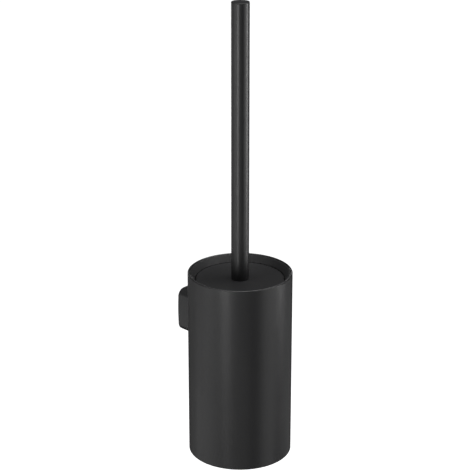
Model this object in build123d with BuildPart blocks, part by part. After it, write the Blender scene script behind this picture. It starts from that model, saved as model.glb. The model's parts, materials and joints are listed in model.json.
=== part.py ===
"""Wall-mounted toilet brush holder: cup on a wall post, lift-out liner, and a brush with a lid.

Millimetres, +Z up.  The origin is the centre of the wall plate's back face, on the wall (Y = 0),
and the object stands out from the wall towards -Y.  The cup's axis is vertical.
"""

import os
from math import sqrt

from build123d import *

os.makedirs("parts", exist_ok=True)

# ---------------------------------------------------------------- driving dimensions
cup_r = 45.0                # outer radius of the cup
cup_h = 167.0               # height of the cup
overall_h = 401.0           # from the cup's bottom edge to the top of the handle
handle_r = 7.65             # outer radius of the handle
axis_to_wall = 57.4         # from the wall to the cup's axis
post_above_base = 120.0     # from the cup's bottom edge to the middle of the wall post

touch_gap = 0.05            # radial room between a screw, stud or spigot and its hole
skin_gap = 0.02             # between the gasket and the curved faces that it lies on
body_gap = 0.3              # room between pieces that move apart
blind_room = 1.0            # how much deeper a blind hole is than what goes into it

# cup shell
shell_wall = 2.0
rim_round = 0.95            # both edges of the rim, almost a full round
shell_edge_break = 0.3
base_t = 2.0
base_setback = 0.8

# wall post and wall plate
post_w = 40.0               # over the middle of its bowed sides
post_bow = 0.8              # how far a side bows out over its whole width
post_corner_r = 7.0
post_edge_r = 0.6
post_wall = 2.4
post_cavity_d = 8.0         # depth of the hollow behind the post's front wall
gasket_t = 0.6
gasket_inset = 1.2          # from the post's outline to the gasket's edge
plate_t = 6.0
plate_clear = 0.3           # between the plate and the inside of the post
wall_hole_r = 2.5
wall_hole_spacing = 20.0
countersink_r = 4.75
grub_r = 2.0
grub_from_wall = 3.2
grub_cone_h = 1.6
grub_setback = 0.4
grub_socket_flats = 2.0
grub_socket_d = 2.2

# post screws and washers
screw_r = 2.0
screw_spacing = 16.0
screw_hole_r = 2.2
screw_head_r = 3.7
screw_head_h = 2.2
screw_head_round = 0.7
washer_r = 4.0
washer_t = 0.8
recess_span = 4.4           # the cross recess in the screw's head
recess_w = 0.9
recess_d = 1.3

# liner
liner_wall = 1.6
liner_floor_t = 2.6
liner_bevel = 0.5           # of the floor's corner, inside and outside
foot_gap = 1.5              # how far the feet hold the liner off the cup's base
foot_r = 4.0
foot_t = 2.7
foot_bevel = 0.5
foot_circle_r = 26.0
seat_r = 38.6               # wall around the lid
ledge_r = 36.8              # inner edge of the ledge that the lid rests on, and the wall below it
collar_drop = 0.7           # from the cup's rim to the top of the collar
collar_h = 7.6
collar_lip = 0.5            # flat lip at the collar's top
collar_lip_round = 0.3

# lid
lid_r = 37.8
lid_t = 3.0
lid_recess = 6.3            # from the cup's rim to the lid's top
lid_edge_r = 0.4
buffer_t = 1.0
buffer_out_r = 37.4
collar_skirt_r = 36.2
collar_skirt_t = 1.6
collar_skirt_h = 6.0
collar_plate_t = 1.8
collar_hub_r = 8.5
collar_hub_h = 6.0
collar_bevel = 1.0

# handle
handle_wall = 1.2
cap_t = 2.0
cap_edge_r = 0.5
cap_spigot_h = 9.0
cap_spigot_wall = 1.95
insert_h = 22.0

# neck and brush head
stud_r = 3.0                # M6
stud_in_handle = 16.0
stud_in_neck = 12.0
stud_bevel = 0.5
lock_washer_t = 1.2
lock_washer_in_r = 3.15
lock_washer_slit = 0.9
neck_r = 5.0
neck_edge_r = 0.6
head_stud_r = 4.0           # M8
head_stud_h = 10.0
head_stud_bevel = 0.7
neck_washer_t = 1.0
core_r = 9.0
core_h = 75.0
core_bevel = 3.0            # at the core's lower end
core_boss_r = 7.5
core_boss_h = 6.0
bristle_r = 33.5
bristle_rows = 11
bristle_row_pitch = 6.2
bristle_row_dip = 1.6       # how far the outline dips between two rows of tufts
tip_clear = 11.0            # from the bristles' tips to the liner's floor
tip_h = 8.0
tip_r = 22.0
tip_flat_r = 14.0
tip_slope_h = 6.0

# ---------------------------------------------------------------- worked-out heights and places
base_z = -post_above_base
rim_z = base_z + cup_h
top_z = base_z + overall_h
base_top_z = base_z + base_setback + base_t
liner_z = base_top_z + foot_gap
liner_floor_z = liner_z + liner_floor_t
lid_top_z = rim_z - lid_recess
lid_z = lid_top_z - lid_t
ledge_z = lid_z - buffer_t
hub_z = lid_z - collar_hub_h
neck_top_z = hub_z - lock_washer_t
core_z = liner_floor_z + tip_clear + tip_h
core_top_z = core_z + core_h
shoulder_z = core_top_z + neck_washer_t
shell_in_r = cup_r - shell_wall
saddle_r = cup_r + gasket_t
plate_half = post_w / 2 - post_wall - plate_clear
handle_in_r = handle_r - handle_wall
through = 2 * post_w        # a cut or block longer than the post in every direction

same_size = 0.01            # sizes this close together count as equal

cup_section = Plane.XZ.offset(axis_to_wall)
cup_axis = Axis((0, -axis_to_wall, 0), (0, 0, 1))


def level(z):
    """A horizontal plane at height z, with its origin on the cup's axis."""
    return Plane((0, -axis_to_wall, z))


def turn(outline):
    """Revolve a closed outline of (radius, height) points about the cup's axis."""
    with BuildSketch(cup_section) as section:
        with BuildLine():
            Polyline(*outline, close=True)
        make_face()
    revolve(section.sketch, axis=cup_axis)


def disc(z, height, radius, hole_r=0.0):
    """A flat disc or ring on the cup's axis, from z upwards."""
    with BuildSketch(level(z)) as face:
        Circle(radius)
        if hole_r:
            Circle(hole_r, mode=Mode.SUBTRACT)
    extrude(face.sketch, amount=height)


def bore(z, height, radius):
    """A round hole on the cup's axis, from z upwards."""
    with BuildSketch(level(z)) as face:
        Circle(radius)
    extrude(face.sketch, amount=height, mode=Mode.SUBTRACT)


def soft_square(plane, shrink=0.0):
    """The post's outline on a plane parallel to the wall: bowed sides and round corners."""
    half = post_w / 2 - shrink
    corner = half - post_bow
    with BuildSketch(plane) as outline:
        with BuildLine():
            for turns in range(4):
                side = Location((0, 0, 0), (0, 0, 90 * turns))
                ends = [side * Location((corner, y, 0)) for y in (-corner, corner)]
                middle = side * Location((half, 0, 0))
                ThreePointArc(ends[0].position, middle.position, ends[1].position)
        make_face()
        fillet(outline.vertices(), post_corner_r - shrink)
    return outline.sketch


def rounded_edges(part, z, radius, round_r):
    """Round the circular edges of a part that lie at height z and have the given radius."""
    circles = part.edges().filter_by(GeomType.CIRCLE)
    rings = circles.filter_by_position(Axis.Z, z - same_size, z + same_size)
    fillet([ring for ring in rings if abs(ring.radius - radius) < same_size], round_r)


def save(part, name):
    """Label a finished piece and write it."""
    part.label = name
    export_step(part, f"parts/{name}.step")


# ---------------------------------------------------------------- housing
screw_heights = (-screw_spacing / 2, screw_spacing / 2)
screw_places = [(0, z) for z in screw_heights]

with BuildPart() as outer_shell:
    disc(base_z, cup_h, cup_r, shell_in_r)
    rounded_edges(outer_shell, rim_z, cup_r, rim_round)
    rounded_edges(outer_shell, rim_z, shell_in_r, rim_round)
    rounded_edges(outer_shell, base_z, cup_r, shell_edge_break)
    with BuildSketch(Plane.XZ):
        with Locations(*screw_places):
            Circle(screw_hole_r)
    extrude(amount=axis_to_wall, mode=Mode.SUBTRACT)
save(outer_shell.part, "outer_shell")

with BuildPart() as shell_base:
    disc(base_z + base_setback, base_t, shell_in_r - touch_gap)
save(shell_base.part, "shell_base")

with BuildPart() as wall_post:
    extrude(soft_square(Plane.XZ), amount=cup_r)
    fillet(wall_post.faces().sort_by(Axis.Y)[-1].edges(), post_edge_r)
    with BuildSketch(level(-post_w)):
        Circle(saddle_r)
    extrude(amount=through, mode=Mode.SUBTRACT)
    extrude(soft_square(Plane.XZ, post_wall), amount=post_cavity_d, mode=Mode.SUBTRACT)
    with BuildSketch(Plane.XZ):
        with Locations(*screw_places):
            Circle(screw_r + touch_gap)
    extrude(amount=cup_r, mode=Mode.SUBTRACT)
    with BuildSketch(Plane.XY):
        with Locations((0, -grub_from_wall)):
            Circle(grub_r + touch_gap)
    extrude(amount=-post_w, mode=Mode.SUBTRACT)
save(wall_post.part, "wall_post")

with BuildPart() as post_gasket:
    with BuildSketch(level(-post_w)):
        Circle(saddle_r - skin_gap)
        Circle(cup_r + skin_gap, mode=Mode.SUBTRACT)
    extrude(amount=through)
    extrude(soft_square(Plane.XZ, gasket_inset), amount=axis_to_wall, mode=Mode.INTERSECT)
    with BuildSketch(Plane.XZ):
        with Locations(*screw_places):
            Circle(screw_hole_r)
    extrude(amount=axis_to_wall, mode=Mode.SUBTRACT)
save(post_gasket.part, "post_gasket")

with BuildPart() as wall_plate:
    extrude(soft_square(Plane.XZ, post_wall + plate_clear), amount=plate_t)
    with Locations(Plane.XZ.offset(plate_t)):
        with Locations((0, -wall_hole_spacing / 2), (0, wall_hole_spacing / 2)):
            CounterSinkHole(wall_hole_r, countersink_r)
    with BuildSketch(Plane.XY.offset(-plate_half)):
        with Locations((0, -grub_from_wall)):
            Circle(grub_r)
    extrude(amount=grub_cone_h + touch_gap, taper=45, mode=Mode.SUBTRACT)
save(wall_plate.part, "wall_plate")

# The washers touch the tube's curved wall at their sides, so they stand a little off it.
washer_back = axis_to_wall - sqrt(shell_in_r**2 - washer_r**2)
washer_front = washer_back + washer_t

with BuildPart() as post_washers:
    with BuildSketch(Plane.XZ.offset(washer_back)):
        with Locations(*screw_places):
            Circle(washer_r)
            Circle(screw_hole_r, mode=Mode.SUBTRACT)
    extrude(amount=washer_t)
save(post_washers.part, "post_washers")

with BuildPart() as post_screws:
    with BuildSketch(Plane.XZ.offset(post_cavity_d)):
        with Locations(*screw_places):
            Circle(screw_r)
    extrude(amount=washer_front - post_cavity_d)
    with BuildSketch(Plane.XZ.offset(washer_front)):
        with Locations(*screw_places):
            Circle(screw_head_r)
    extrude(amount=screw_head_h)
    fillet(post_screws.edges().group_by(Axis.Y)[0], screw_head_round)
    with BuildSketch(Plane.XZ.offset(washer_front + screw_head_h)):
        with Locations(*screw_places):
            Rectangle(recess_span, recess_w)
            Rectangle(recess_w, recess_span)
    extrude(amount=-recess_d, mode=Mode.SUBTRACT)
save(post_screws.part, "post_screws")

grub_tip_z = -plate_half + grub_cone_h
grub_low_z = -post_w / 2 + grub_setback

with BuildPart() as grub_screw:
    with BuildSketch(Plane.XY.offset(grub_low_z)):
        with Locations((0, -grub_from_wall)):
            Circle(grub_r)
    extrude(amount=grub_tip_z - grub_low_z)
    chamfer(grub_screw.edges().group_by(Axis.Z)[-1], grub_cone_h)
    with BuildSketch(Plane.XY.offset(grub_low_z)):
        with Locations((0, -grub_from_wall)):
            RegularPolygon(grub_socket_flats / 2, 6, major_radius=False)
    extrude(amount=grub_socket_d, mode=Mode.SUBTRACT)
save(grub_screw.part, "grub_screw")

# ---------------------------------------------------------------- liner
collar_r = shell_in_r - body_gap
collar_top_z = rim_z - collar_drop
seat_out_r = seat_r + liner_wall
wall_out_r = ledge_r + liner_wall

with BuildPart() as liner:
    turn([
        (0, liner_z),
        (wall_out_r - liner_bevel, liner_z),
        (wall_out_r, liner_z + liner_bevel),
        (wall_out_r, ledge_z - 2 * liner_wall),
        (seat_out_r, ledge_z - liner_wall),
        (seat_out_r, collar_top_z - collar_h),
        (collar_r, collar_top_z - collar_h),
        (collar_r, collar_top_z),
        (collar_r - collar_lip, collar_top_z),
        (seat_r, lid_top_z),
        (seat_r, ledge_z),
        (ledge_r, ledge_z),
        (ledge_r, liner_floor_z + liner_bevel),
        (ledge_r - liner_bevel, liner_floor_z),
        (0, liner_floor_z),
    ])
    rounded_edges(liner, collar_top_z, collar_r - collar_lip, collar_lip_round)
    with BuildSketch(level(liner_z)):
        with PolarLocations(foot_circle_r, 3, start_angle=90):
            Circle(foot_r + touch_gap)
    extrude(amount=foot_t - foot_gap, mode=Mode.SUBTRACT)
save(liner.part, "liner")

with BuildPart() as liner_feet:
    with BuildSketch(level(base_top_z)):
        with PolarLocations(foot_circle_r, 3, start_angle=90):
            Circle(foot_r)
    extrude(amount=foot_t)
    chamfer(liner_feet.edges().group_by(Axis.Z)[0], foot_bevel)
save(liner_feet.part, "liner_feet")

# ---------------------------------------------------------------- lid and handle
with BuildPart() as lid_disc:
    disc(lid_z, lid_t, lid_r, stud_r + touch_gap)
    rounded_edges(lid_disc, lid_top_z, lid_r, lid_edge_r)
save(lid_disc.part, "lid_disc")

stud_hole_r = stud_r + touch_gap
skirt_in_r = collar_skirt_r - collar_skirt_t
skirt_z = lid_z - collar_skirt_h
plate_low_z = lid_z - collar_plate_t

with BuildPart() as lid_collar:
    turn([
        (stud_hole_r, lid_z),
        (collar_skirt_r, lid_z),
        (collar_skirt_r, skirt_z + collar_bevel),
        (collar_skirt_r - collar_bevel, skirt_z),
        (skirt_in_r, skirt_z),
        (skirt_in_r, plate_low_z),
        (collar_hub_r, plate_low_z),
        (collar_hub_r - collar_bevel, hub_z),
        (stud_hole_r, hub_z),
    ])
save(lid_collar.part, "lid_collar")

with BuildPart() as lid_buffer:
    disc(ledge_z, buffer_t, buffer_out_r, collar_skirt_r + touch_gap)
save(lid_buffer.part, "lid_buffer")

cap_z = top_z - cap_t

with BuildPart() as handle_tube:
    disc(lid_top_z, cap_z - lid_top_z, handle_r, handle_in_r)
save(handle_tube.part, "handle_tube")

with BuildPart() as handle_cap:
    disc(cap_z, cap_t, handle_r)
    spigot_r = handle_in_r - touch_gap
    disc(cap_z - cap_spigot_h, cap_spigot_h, spigot_r, spigot_r - cap_spigot_wall)
    rounded_edges(handle_cap, top_z, handle_r, cap_edge_r)
save(handle_cap.part, "handle_cap")

with BuildPart() as handle_insert:
    disc(lid_top_z, insert_h, handle_in_r - touch_gap)
    bore(lid_top_z, stud_in_handle + blind_room, stud_hole_r)
save(handle_insert.part, "handle_insert")

stud_z = neck_top_z - stud_in_neck

with BuildPart() as neck_stud:
    disc(stud_z, lid_top_z + stud_in_handle - stud_z, stud_r)
    chamfer(neck_stud.edges().group_by(Axis.Z)[0], stud_bevel)
    chamfer(neck_stud.edges().group_by(Axis.Z)[-1], stud_bevel)
save(neck_stud.part, "neck_stud")

with BuildPart() as neck_lock_washer:
    disc(neck_top_z, lock_washer_t, neck_r, lock_washer_in_r)
    with BuildSketch(level(neck_top_z)):
        with Locations((neck_r, 0)):
            Rectangle(2 * neck_r, lock_washer_slit)
    extrude(amount=lock_washer_t, mode=Mode.SUBTRACT)
save(neck_lock_washer.part, "neck_lock_washer")

with BuildPart() as neck_rod:
    disc(shoulder_z, neck_top_z - shoulder_z, neck_r)
    rounded_edges(neck_rod, neck_top_z, neck_r, neck_edge_r)
    disc(shoulder_z - head_stud_h, head_stud_h, head_stud_r)
    chamfer(neck_rod.edges().group_by(Axis.Z)[0], head_stud_bevel)
    bore(stud_z - blind_room, stud_in_neck + blind_room, stud_hole_r)
save(neck_rod.part, "neck_rod")

# ---------------------------------------------------------------- brush head
with BuildPart() as neck_washer:
    disc(core_top_z, neck_washer_t, neck_r, head_stud_r + touch_gap)
save(neck_washer.part, "neck_washer")

socket_z = shoulder_z - head_stud_h - blind_room

with BuildPart() as brush_core:
    turn([
        (0, core_z),
        (core_r - core_bevel, core_z),
        (core_r, core_z + core_bevel),
        (core_r, core_top_z - core_boss_h),
        (core_boss_r, core_top_z),
        (0, core_top_z),
    ])
    bore(socket_z, core_top_z - socket_z, head_stud_r + touch_gap)
save(brush_core.part, "brush_core")

# The tufts around the core as one body: its outline dips between the rows.
rows_z = core_z + core_bevel
rows_top_z = rows_z + bristle_rows * bristle_row_pitch
row_dip_r = bristle_r - bristle_row_dip
row_root_r = core_r + touch_gap

with BuildPart() as side_bristles:
    with BuildSketch(cup_section):
        with BuildLine():
            for row in range(bristle_rows):
                row_z = rows_z + row * bristle_row_pitch
                ThreePointArc(
                    (row_dip_r, row_z),
                    (bristle_r, row_z + bristle_row_pitch / 2),
                    (row_dip_r, row_z + bristle_row_pitch),
                )
            Polyline(
                (row_dip_r, rows_top_z),
                (row_root_r, rows_top_z),
                (row_root_r, rows_z),
                (row_dip_r, rows_z),
            )
        make_face()
    revolve(axis=cup_axis)
save(side_bristles.part, "side_bristles")

tip_z = core_z - tip_h

with BuildPart() as tip_bristles:
    turn([
        (0, tip_z),
        (tip_flat_r, tip_z),
        (tip_r, tip_z + tip_slope_h),
        (tip_r, core_z - touch_gap),
        (0, core_z - touch_gap),
    ])
save(tip_bristles.part, "tip_bristles")
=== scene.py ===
"""Studio scene of the wall-mounted toilet brush holder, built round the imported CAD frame.

Metres, +Z up, in the frame's own axes: the wall is the plane Y = 0 and the cup stands out
towards -Y.
"""

import json
import math
import random

import bmesh
import bpy
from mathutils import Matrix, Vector


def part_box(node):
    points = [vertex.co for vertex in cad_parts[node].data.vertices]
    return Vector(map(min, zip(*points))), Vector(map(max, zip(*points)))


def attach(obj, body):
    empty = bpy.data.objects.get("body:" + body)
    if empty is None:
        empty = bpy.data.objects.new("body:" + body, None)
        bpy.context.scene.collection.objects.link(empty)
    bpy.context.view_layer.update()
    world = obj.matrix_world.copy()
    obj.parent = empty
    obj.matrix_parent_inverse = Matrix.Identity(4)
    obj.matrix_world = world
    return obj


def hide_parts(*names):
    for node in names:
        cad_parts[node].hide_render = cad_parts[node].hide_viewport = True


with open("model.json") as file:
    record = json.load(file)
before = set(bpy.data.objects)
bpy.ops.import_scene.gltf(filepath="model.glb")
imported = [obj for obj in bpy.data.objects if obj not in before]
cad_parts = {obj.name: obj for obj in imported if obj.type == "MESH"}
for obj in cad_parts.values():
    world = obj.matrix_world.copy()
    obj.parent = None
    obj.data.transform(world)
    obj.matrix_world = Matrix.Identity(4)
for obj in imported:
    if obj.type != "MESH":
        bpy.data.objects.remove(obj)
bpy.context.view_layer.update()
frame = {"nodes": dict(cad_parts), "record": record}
nodes = frame["nodes"]
MM = 0.001

# ---------------------------------------------------------------- places read from the frame
UP = Vector((0, 0, 1))
shell_low, shell_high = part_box("outer_shell")
cap_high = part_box("handle_cap")[1]
core_low, core_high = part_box("brush_core")
tufts_low, tufts_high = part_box("side_bristles")
tip_low, tip_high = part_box("tip_bristles")
rod_low, rod_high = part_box("neck_rod")
seal_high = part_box("neck_washer")[1]
cup_axis = Vector(((shell_low.x + shell_high.x) / 2, (shell_low.y + shell_high.y) / 2, 0))
object_middle = cup_axis + UP * ((shell_low.z + cap_high.z) / 2)

# ---------------------------------------------------------------- camera
VIEW_AZIMUTH = math.radians(-45)     # half way from the holder's front to its left side
VIEW_PITCH = math.radians(20.53)
VIEW_TURN = math.radians(0.189)      # the cup stands a little right of the picture's middle
VIEW_DISTANCE = 1.320                # level distance from the cup's axis
VIEW_HEIGHT = 0.6945                 # above the cup's bottom edge
VIEW_LENS = 127.3
FILM_WIDTH = 36

to_camera = Vector((math.sin(VIEW_AZIMUTH), -math.cos(VIEW_AZIMUTH), 0))
to_right = Vector((-to_camera.y, to_camera.x, 0))


def make_camera():
    """The studio view, looking down at the holder with no shift."""
    data = bpy.data.cameras.new("studio_camera")
    data.sensor_width = FILM_WIDTH
    data.lens = VIEW_LENS
    camera = bpy.data.objects.new("studio_camera", data)
    bpy.context.collection.objects.link(camera)
    eye_z = shell_low.z + VIEW_HEIGHT
    camera.location = cup_axis + to_camera * VIEW_DISTANCE + UP * eye_z
    camera.rotation_euler = (math.pi / 2 - VIEW_PITCH, 0, VIEW_AZIMUTH + VIEW_TURN)
    bpy.context.scene.camera = camera


make_camera()


# ---------------------------------------------------------------- materials
EDGE_SAMPLES = 6
EDGE_FULL = 0.80                     # cosine of the turn to the softened normal: a full edge,
EDGE_NONE = 0.985                    # and a plain face
EDGE_PATCH = 6 * MM                  # size of the patches in which edges are rubbed
STRAND_TONE = "strand_tone"          # attributes of the bristles' points
STRAND_ALONG = "strand_along"


class Finish:
    """A material on one Principled shader, with short names for the nodes that drive it."""

    def __init__(self, name, colour, roughness, metallic=0.0):
        self.material = bpy.data.materials.new(name)
        self.material.use_nodes = True
        self.tree = self.material.node_tree
        self.shader = self.tree.nodes["Principled BSDF"]
        self.shader.inputs["Base Color"].default_value = (*colour, 1)
        self.shader.inputs["Roughness"].default_value = roughness
        self.shader.inputs["Metallic"].default_value = metallic
        self.place = self.add("TexCoord").outputs["Object"]

    def add(self, kind, **sockets):
        """A shader node with its inputs set, each to a value or linked to another socket."""
        made = self.tree.nodes.new("ShaderNode" + kind)
        for name, value in sockets.items():
            self.feed(made.inputs[name.replace("_", " ")], value)
        return made

    def feed(self, socket, value):
        """Links an input to a socket, or sets it to a value."""
        if isinstance(value, bpy.types.NodeSocket):
            self.tree.links.new(value, socket)
        else:
            socket.default_value = value

    def math(self, operation, first, second):
        made = self.tree.nodes.new("ShaderNodeMath")
        made.operation = operation
        self.feed(made.inputs[0], first)
        self.feed(made.inputs[1], second)
        return made.outputs["Value"]

    def grain(self, size, detail=2.0, stretch=(1, 1, 1)):
        """Noise from 0 to 1 with features of a size in metres, drawn out along each axis."""
        scaled = self.tree.nodes.new("ShaderNodeVectorMath")
        scaled.operation = "MULTIPLY"
        self.feed(scaled.inputs[0], self.place)
        scaled.inputs[1].default_value = [1 / s for s in stretch]
        noise = self.add("TexNoise", Vector=scaled.outputs["Vector"], Scale=1 / size, Detail=detail)
        return noise.outputs["Fac"]

    def attribute(self, name):
        """A number that the mesh carries at each point."""
        made = self.tree.nodes.new("ShaderNodeAttribute")
        made.attribute_name = name
        return made.outputs["Fac"]

    def pebbles(self, size):
        """Rounded cells of a size in metres, as a height from 0 to 1."""
        cells = self.tree.nodes.new("ShaderNodeTexVoronoi")
        cells.feature = "SMOOTH_F1"
        self.feed(cells.inputs["Vector"], self.place)
        cells.inputs["Scale"].default_value = 1 / size
        return cells.outputs["Distance"]

    def remap(self, value, low, high, start=0.0, end=1.0):
        """The value from start to end, as low to high, and held there beyond them."""
        made = self.add("MapRange", Value=value)
        limits = {"From Min": start, "From Max": end, "To Min": low, "To Max": high}
        for name, limit in limits.items():
            made.inputs[name].default_value = limit
        return made.outputs["Result"]

    def blend(self, factor, first, second):
        """A colour between two colours."""
        made = self.tree.nodes.new("ShaderNodeMix")
        made.data_type = "RGBA"
        self.feed(made.inputs["Factor"], factor)
        for socket, colour in ((made.inputs["A"], first), (made.inputs["B"], second)):
            self.feed(socket, colour if isinstance(colour, bpy.types.NodeSocket) else (*colour, 1))
        return made.outputs["Result"]

    def tint(self, factor, start, end, first, second):
        """A colour from the first to the second, while the factor goes from start to end."""
        return self.blend(self.remap(factor, 0, 1, start, end), first, second)

    def worn(self, body, edge, share, bare):
        """The body colour, with a share of a barer colour on the edges."""
        return self.blend(self.math("MULTIPLY", edge, share), body, bare)

    def polished(self, gloss, edge, drop):
        """The roughness, lower by a drop on the edges."""
        return self.math("SUBTRACT", gloss, self.math("MULTIPLY", edge, drop))

    def edges(self, width):
        """1 on the object's sharp and rounded edges and 0 on its faces, broken up by noise."""
        soft = self.tree.nodes.new("ShaderNodeBevel")
        soft.samples = EDGE_SAMPLES
        soft.inputs["Radius"].default_value = width
        plain = self.add("NewGeometry").outputs["Normal"]
        facing = self.tree.nodes.new("ShaderNodeVectorMath")
        facing.operation = "DOT_PRODUCT"
        self.feed(facing.inputs[0], soft.outputs["Normal"])
        self.feed(facing.inputs[1], plain)
        turned = self.remap(facing.outputs["Value"], 1, 0, EDGE_FULL, EDGE_NONE)
        patchy = self.remap(self.grain(EDGE_PATCH, 4), 0, 1, 0.40, 0.68)
        return self.math("MULTIPLY", turned, patchy)

    def relief(self, height, depth, under=None):
        """A bump of a depth in metres, on top of another one."""
        made = self.add("Bump", Height=height, Distance=depth, Strength=1.0)
        if under:
            self.feed(made.inputs["Normal"], under)
        return made.outputs["Normal"]

    def use(self, **sockets):
        """The material, with these inputs of its shader driven."""
        for name, value in sockets.items():
            self.feed(self.shader.inputs[name.replace("_", " ")], value)
        return self.material


def powder_coat():
    """Baked matt black powder: fine orange peel, an uneven silky gloss and smoother edges."""
    coat = Finish("black_powder_coat", (0.021, 0.021, 0.022), 0.36)
    cloud = coat.grain(45 * MM, 3)
    rubbed = coat.grain(14 * MM, 5, stretch=(1, 1, 3))
    peel = coat.grain(0.9 * MM, 2)
    speck = coat.grain(0.25 * MM, 1)
    edge = coat.edges(0.7 * MM)
    body = coat.tint(cloud, 0.3, 0.7, (0.0195, 0.0195, 0.0205), (0.0228, 0.0228, 0.0235))
    body = coat.blend(coat.remap(speck, 0, 0.5, 0.62, 0.8), body, (0.034, 0.034, 0.035))
    body = coat.worn(body, edge, 0.55, (0.048, 0.047, 0.046))
    gloss = coat.remap(rubbed, 0.335, 0.385, 0.3, 0.7)
    gloss = coat.math("ADD", gloss, coat.remap(speck, -0.03, 0.03, 0.3, 0.7))
    gloss = coat.polished(gloss, edge, 0.06)
    normal = coat.relief(peel, 0.016 * MM, coat.relief(speck, 0.005 * MM))
    return coat.use(Base_Color=body, Roughness=gloss, Normal=normal)


def moulded_plastic():
    """Black polypropylene from a spark-eroded mould: a fine pebble grain and shinier edges."""
    plastic = Finish("black_moulded_plastic", (0.028, 0.028, 0.029), 0.5)
    plastic.shader.inputs["Specular IOR Level"].default_value = 0.45
    pebble = plastic.pebbles(0.45 * MM)
    flow = plastic.grain(22 * MM, 3, stretch=(1, 1, 4))
    scuff = plastic.grain(3 * MM, 6)
    edge = plastic.edges(0.6 * MM)
    body = plastic.tint(flow, 0.35, 0.65, (0.0250, 0.0250, 0.0258), (0.0320, 0.0320, 0.0328))
    body = plastic.worn(body, edge, 0.4, (0.046, 0.046, 0.047))
    gloss = plastic.remap(flow, 0.46, 0.54, 0.3, 0.7)
    gloss = plastic.math("ADD", gloss, plastic.remap(scuff, -0.03, 0.03, 0.3, 0.7))
    gloss = plastic.polished(gloss, edge, 0.1)
    return plastic.use(Base_Color=body, Roughness=gloss, Normal=plastic.relief(pebble, 0.02 * MM))


def soft_rubber():
    """Black rubber with a dull bloom and fine dust-catching pores."""
    rubber = Finish("black_rubber", (0.014, 0.014, 0.014), 0.75)
    bloom = rubber.grain(5 * MM, 4)
    pores = rubber.grain(0.3 * MM, 2)
    body = rubber.tint(bloom, 0.4, 0.75, (0.0120, 0.0120, 0.0120), (0.0230, 0.0228, 0.0225))
    gloss = rubber.remap(bloom, 0.68, 0.84, 0.3, 0.7)
    return rubber.use(Base_Color=body, Roughness=gloss, Normal=rubber.relief(pores, 0.012 * MM))


def turned_steel():
    """Stainless steel off the lathe: fine rings round the upright axis and a faint cloudy film."""
    steel = Finish("turned_stainless_steel", (0.56, 0.55, 0.53), 0.28, 1)
    rings = steel.grain(0.10 * MM, 2, stretch=(200, 200, 1))
    film = steel.grain(9 * MM, 3)
    body = steel.tint(rings, 0.3, 0.7, (0.52, 0.51, 0.495), (0.59, 0.58, 0.56))
    gloss = steel.remap(rings, 0.25, 0.33, 0.3, 0.7)
    gloss = steel.math("ADD", gloss, steel.remap(film, -0.03, 0.05, 0.35, 0.7))
    return steel.use(Base_Color=body, Roughness=gloss, Normal=steel.relief(rings, 0.0008 * MM))


def cast_zinc():
    """Die-cast zinc with its grey skin: pebbly, blotched, and bright where its edges are rubbed."""
    zinc = Finish("cast_zinc", (0.42, 0.43, 0.44), 0.5, 1)
    skin = zinc.grain(1.3 * MM, 5)
    blotch = zinc.grain(8 * MM, 4)
    edge = zinc.edges(0.5 * MM)
    body = zinc.tint(blotch, 0.35, 0.7, (0.34, 0.35, 0.36), (0.47, 0.48, 0.49))
    body = zinc.worn(body, edge, 0.7, (0.66, 0.67, 0.68))
    gloss = zinc.polished(zinc.remap(blotch, 0.44, 0.6, 0.3, 0.7), edge, 0.14)
    return zinc.use(Base_Color=body, Roughness=gloss, Normal=zinc.relief(skin, 0.025 * MM))


def black_oxide():
    """Oiled black oxide on a steel screw, a little brown in its hollows and bright on its edges."""
    oxide = Finish("black_oxide_steel", (0.045, 0.044, 0.042), 0.42, 0.9)
    stain = oxide.grain(1.2 * MM, 4)
    edge = oxide.edges(0.2 * MM)
    body = oxide.tint(stain, 0.35, 0.7, (0.036, 0.036, 0.037), (0.060, 0.053, 0.046))
    body = oxide.worn(body, edge, 0.6, (0.22, 0.22, 0.22))
    gloss = oxide.remap(stain, 0.36, 0.48, 0.3, 0.7)
    return oxide.use(Base_Color=body, Roughness=gloss, Normal=oxide.relief(stain, 0.006 * MM))


def nylon_filament():
    """Black nylon filament: each strand has its own tone, and a paler and duller tip."""
    nylon = Finish("black_nylon_bristle", (0.02, 0.02, 0.021), 0.38)
    nylon.shader.inputs["Sheen Weight"].default_value = 0.08
    tone = nylon.attribute(STRAND_TONE)
    along = nylon.attribute(STRAND_ALONG)
    body = nylon.blend(tone, (0.012, 0.012, 0.013), (0.030, 0.030, 0.032))
    body = nylon.blend(nylon.remap(along, 0, 0.6, 0.75, 1.0), body, (0.050, 0.050, 0.052))
    gloss = nylon.remap(along, 0.34, 0.55, 0.6, 1.0)
    ribs = nylon.grain(0.5 * MM, 2)
    return nylon.use(Base_Color=body, Roughness=gloss, Normal=nylon.relief(ribs, 0.01 * MM))


finishes = {
    "black_coat": powder_coat(),
    "black_plastic": moulded_plastic(),
    "rubber": soft_rubber(),
    "stainless": turned_steel(),
    "cast_zinc": cast_zinc(),
    "black_steel": black_oxide(),
    "bristle": nylon_filament(),
}
for entry in frame["record"]["subparts"]:
    mesh = nodes[entry["node"]].data
    mesh.materials.clear()
    mesh.materials.append(finishes[entry["material_slot"]])


# ---------------------------------------------------------------- pieces made here
def add_piece(name, mesh, node, body, slot):
    """A finished mesh as the piece that stands for a CAD node."""
    piece = bpy.data.objects.new(name, mesh)
    bpy.context.collection.objects.link(piece)
    mesh.materials.append(finishes[slot])
    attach(piece, body)
    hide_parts(node)
    return piece


# ---------------------------------------------------------------- bristles
STRAND_R = 0.22 * MM
STRAND_SIDES = 3
STRAND_RINGS = 4                     # along each filament
STRAND_TAPER = 0.35                  # how much of its radius a filament loses by its tip
STRAND_ROOT = 1.0 * MM               # how deep a filament's root sits in the core
TUFT_R = 1.25 * MM
STRANDS_A_TUFT = 40
TRIM = 0.25 * MM                     # how unevenly the tips are trimmed

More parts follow.
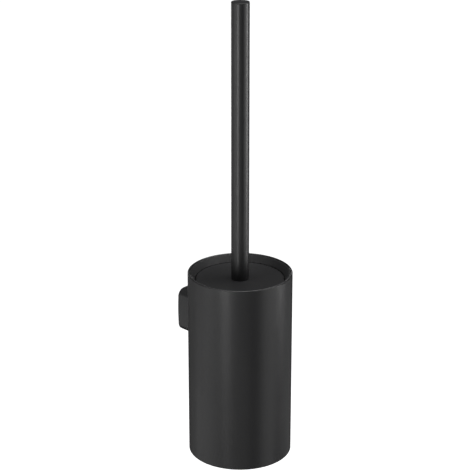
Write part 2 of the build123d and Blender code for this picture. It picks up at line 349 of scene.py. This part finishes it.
SIDE_ROWS = 11
TUFTS_A_ROW = 14
SIDE_WANDER = 0.015                  # of a tuft's place round the core, in radians
SIDE_FAN = 0.16                      # sideways slope of a tuft's outermost filaments
SIDE_FAN_NOISE = 0.06
SIDE_TILT = 0.085                    # upward slope of a tuft's outermost filaments
SIDE_TILT_NOISE = 0.035
SIDE_BEND = 0.3 * MM

TIP_FLAT_SHARE = 0.62                # of the head's radius, where its flat end turns into the slope
TIP_SLOPE_SHARE = 0.75               # of the tip's height that the slope takes
TIP_FAN = 1.2                        # how far round the axis a tuft's outermost filaments turn
TIP_FAN_NOISE = 0.16
TIP_SPREAD = 0.30                    # how far in and out a tuft's filaments land
TIP_SPREAD_NOISE = 0.10
TIP_BEND = 0.2 * MM
# of each ring: how many tufts, its radius, how far up the core it is, and how far out its tufts
# land: up to 1 on the flat end, and on to 2 up the slope
TIP_RINGS = (
    (1, 0.0, 0.0, 0.30),
    (6, 3.6 * MM, 0.0, 0.78),
    (12, 7.3 * MM, 1.3 * MM, 1.55),
)


class Tufts:
    """Filaments collected into one mesh, with a tone and a distance from the root at each point."""

    def __init__(self, seed):
        self.chance = random.Random(seed)
        self.points = []
        self.faces = []
        self.tones = []
        self.along = []

    def strand(self, root, tip, sag):
        """A tapering filament from its root to its tip, moved by the vector sag half way."""
        axis = (tip - root).normalized()
        side = axis.cross(UP if abs(axis.z) < 0.9 else Vector((1, 0, 0))).normalized()
        other = axis.cross(side)
        first = len(self.points)
        tone = self.chance.random()
        spin = self.chance.uniform(0, 2 * math.pi)
        for ring in range(STRAND_RINGS):
            t = ring / (STRAND_RINGS - 1)
            middle = root.lerp(tip, t) + sag * (4 * t * (1 - t))
            radius = STRAND_R * (1 - STRAND_TAPER * t * t)
            for corner in range(STRAND_SIDES):
                a = spin + 2 * math.pi * corner / STRAND_SIDES
                self.points.append(middle + (side * math.cos(a) + other * math.sin(a)) * radius)
                self.tones.append(tone)
                self.along.append(t)
        for ring in range(STRAND_RINGS - 1):
            low = first + ring * STRAND_SIDES
            for corner in range(STRAND_SIDES):
                after = (corner + 1) % STRAND_SIDES
                self.faces.append((low + corner, low + after,
                                   low + STRAND_SIDES + after, low + STRAND_SIDES + corner))
        last = first + (STRAND_RINGS - 1) * STRAND_SIDES
        self.faces.append(tuple(range(last, last + STRAND_SIDES)))
        self.faces.append(tuple(range(first + STRAND_SIDES - 1, first - 1, -1)))

    def mesh(self, name):
        """All the filaments so far, as one mesh."""
        made = bpy.data.meshes.new(name)
        made.from_pydata(self.points, [], self.faces)
        for label, values in ((STRAND_TONE, self.tones), (STRAND_ALONG, self.along)):
            made.attributes.new(label, "FLOAT", "POINT").data.foreach_set("value", values)
        made.shade_smooth()
        return made

    def in_tuft(self):
        """A random place across a tuft's round root, as two distances from its middle."""
        a = self.chance.uniform(0, 2 * math.pi)
        r = TUFT_R * math.sqrt(self.chance.random())
        return r * math.cos(a), r * math.sin(a)

    def bend(self, size):
        """A random small offset."""
        return Vector([self.chance.gauss(0, size) for _ in range(3)])


def outward(angle):
    """A level unit vector away from the cup's axis."""
    return Vector((math.cos(angle), math.sin(angle), 0))


def side_tufts():
    """Rows of tufts round the core, staggered from row to row and trimmed to one outer radius."""
    tufts = Tufts(31)
    core_r = (core_high.x - core_low.x) / 2
    trim_r = (tufts_high.x - tufts_low.x) / 2 - TRIM
    pitch = (tufts_high.z - tufts_low.z) / SIDE_ROWS
    for row in range(SIDE_ROWS):
        z = tufts_low.z + (row + 0.5) * pitch
        for tuft in range(TUFTS_A_ROW):
            angle = 2 * math.pi * (tuft + row % 2 / 2) / TUFTS_A_ROW
            angle += tufts.chance.gauss(0, SIDE_WANDER)
            out = outward(angle)
            across = Vector((-out.y, out.x, 0))
            for _ in range(STRANDS_A_TUFT):
                dx, dz = tufts.in_tuft()
                fan = tufts.chance.gauss(dx / TUFT_R * SIDE_FAN, SIDE_FAN_NOISE)
                tilt = tufts.chance.gauss(dz / TUFT_R * SIDE_TILT, SIDE_TILT_NOISE)
                aim = (out + across * fan + UP * tilt).normalized()
                start = out * (core_r - STRAND_ROOT) + across * dx
                # the reach along aim that ends on the trimmed cylinder
                a = aim.x**2 + aim.y**2
                b = start.dot(aim)
                c = start.dot(start) - (trim_r - abs(tufts.chance.gauss(0, TRIM))) ** 2
                reach = (math.sqrt(b * b - a * c) - b) / a
                root = cup_axis + start + UP * (z + dz)
                tip = root + aim * reach
                tip.z = min(max(tip.z, tufts_low.z + STRAND_R), tufts_high.z - STRAND_R)
                tufts.strand(root, tip, tufts.bend(SIDE_BEND))
    return tufts.mesh("side_tufts")


def tip_tufts():
    """Tufts in the core's lower end: a middle one, a ring pointing down, and a ring fanning out."""
    tufts = Tufts(57)
    full_r = (tip_high.x - tip_low.x) / 2 - TRIM
    flat_r = full_r * TIP_FLAT_SHARE
    bottom = tip_low.z + TRIM
    slope_h = (tip_high.z - tip_low.z) * TIP_SLOPE_SHARE
    for count, ring_r, up, outside in TIP_RINGS:
        for tuft in range(count):
            angle = 2 * math.pi * (tuft + 0.5) / count
            for _ in range(STRANDS_A_TUFT):
                dx, dy = tufts.in_tuft()
                root = outward(angle) * (ring_r + dx) + outward(angle + math.pi / 2) * dy
                # the more tufts share a ring, the narrower each one fans
                fan = angle + dy / TUFT_R * TIP_FAN / max(count / 4, 1)
                fan += tufts.chance.gauss(0, TIP_FAN_NOISE)
                if not ring_r:
                    fan = tufts.chance.uniform(0, 2 * math.pi)
                land = outside + dx / TUFT_R * TIP_SPREAD + tufts.chance.gauss(0, TIP_SPREAD_NOISE)
                land = max(land, 0)
                slope = min(max(land - 1, 0), 1)
                tip_r = flat_r * min(land, 1) + (full_r - flat_r) * slope
                tip = outward(fan) * tip_r
                tip.z = bottom + slope_h * slope + abs(tufts.chance.gauss(0, TRIM))
                root.z = core_low.z + up + STRAND_ROOT
                tufts.strand(cup_axis + root, cup_axis + tip, tufts.bend(TIP_BEND))
    return tufts.mesh("tip_tufts")


add_piece("side_tufts", side_tufts(), "side_bristles", "brush_head", "bristle")
add_piece("tip_tufts", tip_tufts(), "tip_bristles", "brush_head", "bristle")

# ---------------------------------------------------------------- the neck, with its real thread
THREAD_PITCH = 1.25 * MM             # M8
THREAD_DEPTH = 0.70 * MM
THREAD_R = 3.95 * MM
THREAD_STEP = THREAD_PITCH / 10
THREAD_SIDES = 72
THREAD_FLANK = 2.6                   # how steeply the flanks rise, and
THREAD_ROOT = 0.15                   # how far into the rise the flat root reaches
LEAD_IN = 0.8 * MM                   # the bevel at the thread's free end
RELIEF_H = 0.9 * MM                  # plain groove between the thread and the shoulder
NECK_EDGE = 0.6 * MM                 # radius of the rounded top edge
NECK_EDGE_STEPS = 4
SHARP_FROM = math.radians(35)
SOCKET_R = 3.05 * MM
SOCKET_DEPTH = 13 * MM


def thread_radius(height, angle):
    """The thread's radius at a height over its free end and an angle round it."""
    phase = (height / THREAD_PITCH - angle / (2 * math.pi)) % 1
    crest = min(max(THREAD_FLANK * (0.5 - abs(phase - 0.5)) - THREAD_ROOT, 0), 1)
    radius = THREAD_R - THREAD_DEPTH * (1 - crest)
    top = seal_high.z - rod_low.z - RELIEF_H
    if height > top:
        radius = THREAD_R - THREAD_DEPTH
    return min(radius, THREAD_R - LEAD_IN + height)


def threaded_neck():
    """The neck rod as one turned piece: blind socket, rounded top edge, shoulder and M8 thread."""
    neck_r = (rod_high.x - rod_low.x) / 2
    shoulder = seal_high.z
    # (radius, height) of each plain ring, from the socket's floor to the shoulder's inner edge
    rings = [(SOCKET_R, rod_high.z - SOCKET_DEPTH), (SOCKET_R, rod_high.z)]
    for step in range(NECK_EDGE_STEPS + 1):
        a = math.pi / 2 * step / NECK_EDGE_STEPS
        rings.append((neck_r - NECK_EDGE * (1 - math.sin(a)),
                      rod_high.z - NECK_EDGE * (1 - math.cos(a))))
    rings.append((neck_r, shoulder))
    steps = round((shoulder - rod_low.z) / THREAD_STEP)
    made = bmesh.new()
    rows = []
    angles = [2 * math.pi * s / THREAD_SIDES for s in range(THREAD_SIDES)]
    for radius, z in rings:
        rows.append([made.verts.new(cup_axis + outward(angle) * radius + UP * z)
                     for angle in angles])
    for step in range(steps, -1, -1):
        height = (shoulder - rod_low.z) * step / steps
        z = rod_low.z + height
        row = []
        for angle in angles:
            place = cup_axis + outward(angle) * thread_radius(height, angle)
            row.append(made.verts.new(place + UP * z))
        rows.append(row)
    for above, below in zip(rows, rows[1:]):
        for s in range(THREAD_SIDES):
            after = (s + 1) % THREAD_SIDES
            made.faces.new((above[s], above[after], below[after], below[s]))
    made.faces.new(rows[0])
    made.faces.new(rows[-1])
    bmesh.ops.recalc_face_normals(made, faces=made.faces)
    mesh = bpy.data.meshes.new("threaded_neck")
    made.to_mesh(mesh)
    made.free()
    mesh.shade_smooth()
    mesh.set_sharp_from_angle(angle=SHARP_FROM)
    return mesh


add_piece("threaded_neck", threaded_neck(), "neck_rod", "brush", "stainless")

# ---------------------------------------------------------------- studio
FLOOR_DROP = 0.9                     # the holder hangs on a wall, so the floor is well below it
FLOOR_REACH = 12
FLOOR_ROUGHNESS = 0.9
FLOOR_GLOW = 1.0
PALE = (0.9, 0.9, 0.9, 1)
WHITE = (1, 1, 1, 1)
LIGHT_DISTANCE = 1.6
SOFTBOX_HEIGHT = 0.62
BROAD = 1.2                          # widths of softboxes
WIDE = 0.85
NARROW = 0.50
BACKGROUND = 1.05                    # just over white, so that the picture's ground clips to it
ROOM_LIGHT = 0.06

# name, azimuth from the camera (right positive), elevation, width, watts
SOFTBOXES = (
    ("top", 0, 88, BROAD, 17.9),
    ("left_key", -30, -8, NARROW, 6.51),
    ("left_key_under", -30, -32, NARROW, 0.52),
    ("left_high", -65, 50, WIDE, 1.3),
    ("left_low", -65, -8, WIDE, 2.72),
    ("left_under", -65, -32, WIDE, 1.06),
    ("left_side", -95, -8, WIDE, 0.71),
    ("left_side_under", -95, -32, WIDE, 0.97),
    ("left_back", -125, -8, WIDE, 0.49),
    ("left_back_under", -125, -32, WIDE, 0.25),
    ("front", 2, -8, WIDE, 0.58),
    ("front_under", 2, -32, WIDE, 0.7),
    ("right_front_under", 32, -32, WIDE, 0.22),
    ("right_front_high", 65, 50, WIDE, 2.2),
    ("right_low", 65, -8, WIDE, 2.66),
    ("right_under", 65, -32, WIDE, 1.13),
    ("right_high", 98, 50, NARROW, 4.7),
    ("right_strip", 95, -8, NARROW, 7.0),
    ("right_back_high", 130, 50, WIDE, 2.0),
    ("right_back_under", 130, -32, WIDE, 0.3),
    ("back_left", -160, -8, WIDE, 1.8),
    ("back", 180, -8, WIDE, 3.5),
)


def make_floor():
    """A pale glowing floor that lights nothing but is seen by the camera."""
    z = shell_low.z - FLOOR_DROP
    signs = ((-1, -1), (1, -1), (1, 1), (-1, 1))
    corners = [(x * FLOOR_REACH, y * FLOOR_REACH, z) for x, y in signs]
    mesh = bpy.data.meshes.new("floor")
    mesh.from_pydata(corners, [], [(0, 1, 2, 3)])
    floor = bpy.data.objects.new("floor", mesh)
    bpy.context.collection.objects.link(floor)
    pale = bpy.data.materials.new("pale_floor")
    pale.use_nodes = True
    shader = pale.node_tree.nodes["Principled BSDF"]
    shader.inputs["Base Color"].default_value = PALE
    shader.inputs["Roughness"].default_value = FLOOR_ROUGHNESS
    shader.inputs["Emission Color"].default_value = WHITE
    shader.inputs["Emission Strength"].default_value = FLOOR_GLOW
    mesh.materials.append(pale)
    floor.visible_diffuse = False
    floor.visible_glossy = False


def softbox(name, azimuth, elevation, width, watts):
    """A rectangular light aimed at the object's middle."""
    data = bpy.data.lights.new(name, "AREA")
    data.shape = "RECTANGLE"
    data.size = width
    data.size_y = SOFTBOX_HEIGHT
    data.energy = watts
    light = bpy.data.objects.new(name, data)
    bpy.context.collection.objects.link(light)
    a = math.radians(azimuth)
    e = math.radians(elevation)
    level = to_camera * math.cos(a) + to_right * math.sin(a)
    away = level * math.cos(e) + UP * math.sin(e)
    light.location = object_middle + away * LIGHT_DISTANCE
    light.rotation_euler = away.to_track_quat("Z", "Y").to_euler()
    light.visible_camera = False


def make_world():
    """White behind the object for the camera alone, and a dim room for everything else."""
    world = bpy.data.worlds.new("studio")
    world.use_nodes = True
    bpy.context.scene.world = world
    tree = world.node_tree
    white = tree.nodes["Background"]
    white.inputs["Color"].default_value = WHITE
    white.inputs["Strength"].default_value = BACKGROUND
    room = tree.nodes.new("ShaderNodeBackground")
    room.inputs["Strength"].default_value = ROOM_LIGHT
    rays = tree.nodes.new("ShaderNodeLightPath")
    mix = tree.nodes.new("ShaderNodeMixShader")
    tree.links.new(rays.outputs["Is Camera Ray"], mix.inputs["Fac"])
    tree.links.new(room.outputs["Background"], mix.inputs[1])
    tree.links.new(white.outputs["Background"], mix.inputs[2])
    tree.links.new(mix.outputs["Shader"], tree.nodes["World Output"].inputs["Surface"])


make_floor()
for box in SOFTBOXES:
    softbox(*box)
make_world()
bpy.context.scene.view_settings.view_transform = "Standard"
